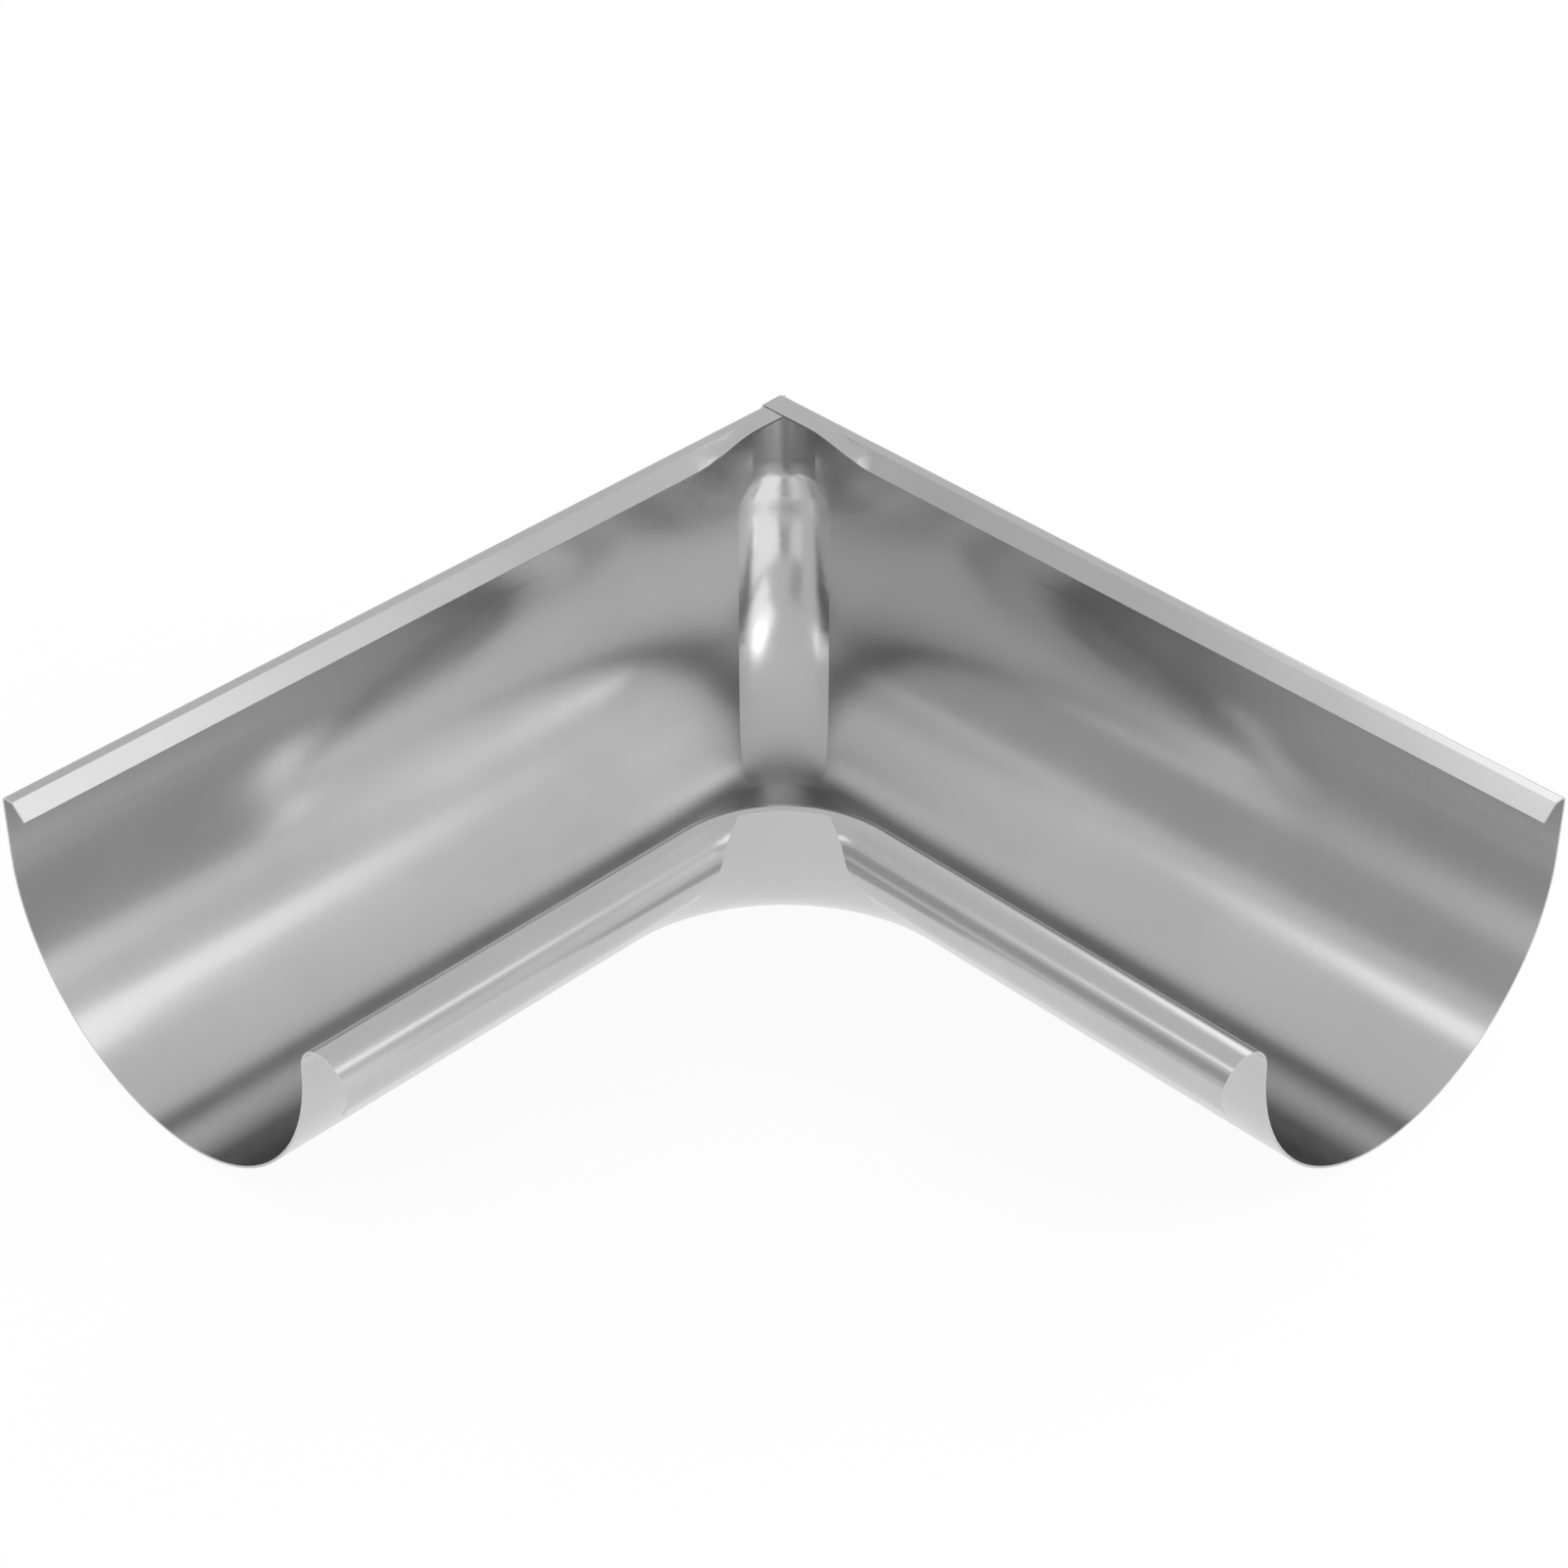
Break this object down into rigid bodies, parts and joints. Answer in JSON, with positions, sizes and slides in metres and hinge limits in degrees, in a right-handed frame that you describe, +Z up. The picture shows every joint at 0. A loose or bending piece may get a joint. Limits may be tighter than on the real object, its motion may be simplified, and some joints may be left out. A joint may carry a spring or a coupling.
{
  "type": "internal gutter angle",
  "caption": "Right-angled inside corner for a half-round gutter, pressed from thin galvanised sheet, with a rolled front bead, folded back edge and a gusset across the outer corner.",
  "frame": {"origin": "centre of the bounding box in plan, on the plane that the two trough bottoms stand on", "axes": "+Z up out of the trough's mouth; one arm runs along +X and the other along +Y from the outer corner at low X and low Y; the rolled bead is on the +X+Y side"},
  "size_m": [0.3, 0.3, 0.0837],
  "materials": {
    "galvanised_sheet": "galvanised satin"
  },
  "bodies": {
    "root": {"gutter_angle": "galvanised_sheet"}
  },
  "joints": []
}
